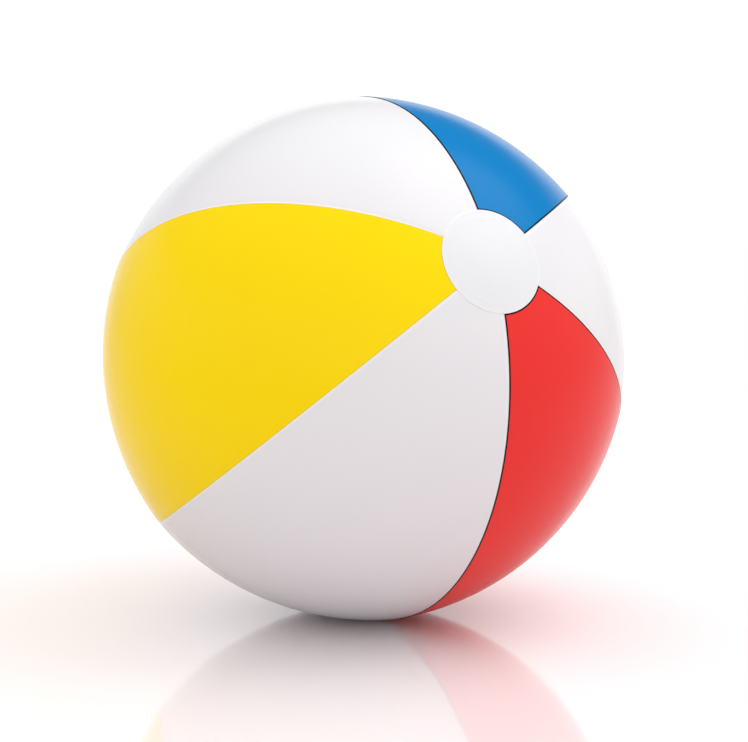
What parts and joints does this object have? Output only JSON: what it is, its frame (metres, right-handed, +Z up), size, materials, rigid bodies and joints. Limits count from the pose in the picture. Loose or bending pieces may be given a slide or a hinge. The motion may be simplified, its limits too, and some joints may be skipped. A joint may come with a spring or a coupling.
{
  "type": "inflatable beach ball",
  "caption": "Inflated vinyl beach ball of coloured and white panels meeting at round end discs, with a push-in mouth valve, check flap and tethered stopper.",
  "frame": {"origin": "on the ground under the centre of the ball, at the middle of the flat patch it rests on", "axes": "+Z up; the line through the two end discs leans 64 degrees from +Z in the YZ plane, the plain disc towards -Y and up, the valve towards +Y and down; +X to the right, seen from the plain disc"},
  "size_m": [0.3366, 0.3372, 0.3381],
  "materials": {
    "yellow_vinyl": "gloss",
    "red_vinyl": "gloss",
    "blue_vinyl": "gloss",
    "white_vinyl": "gloss",
    "disc_vinyl": "gloss",
    "soft_moulding": "satin",
    "clear_flap": "gloss"
  },
  "bodies": {
    "ball": {"panel_yellow": "yellow_vinyl", "panel_red": "red_vinyl", "panel_blue": "blue_vinyl", "panel_white_top": "white_vinyl", "panel_white_front": "white_vinyl", "panel_white_side": "white_vinyl", "end_disc": "disc_vinyl", "valve_disc": "disc_vinyl", "valve_flange": "soft_moulding", "valve_skirt": "soft_moulding"},
    "valve": {"valve_tube": "soft_moulding"},
    "stopper": {"stopper": "soft_moulding", "stopper_strap": "soft_moulding"},
    "check_flap": {"check_flap": "clear_flap"}
  },
  "joints": [
    {"name": "valve_pull", "type": "slide", "parent": "ball", "child": "valve", "axis": [0, 0.8988, -0.4384], "range_m": [0, 0.012], "deforming": ["valve_skirt"]},
    {"name": "stopper_strap_bend", "type": "hinge", "parent": "valve", "child": "stopper", "pos_m": [0, 0.1585, 0.10561], "axis": [1, 0, 0], "range_deg": [0, 150]},
    {"name": "check_flap_bend", "type": "hinge", "parent": "valve", "child": "check_flap", "pos_m": [0, 0.13128, 0.09931], "axis": [1, 0, 0], "range_deg": [0, 50]}
  ]
}
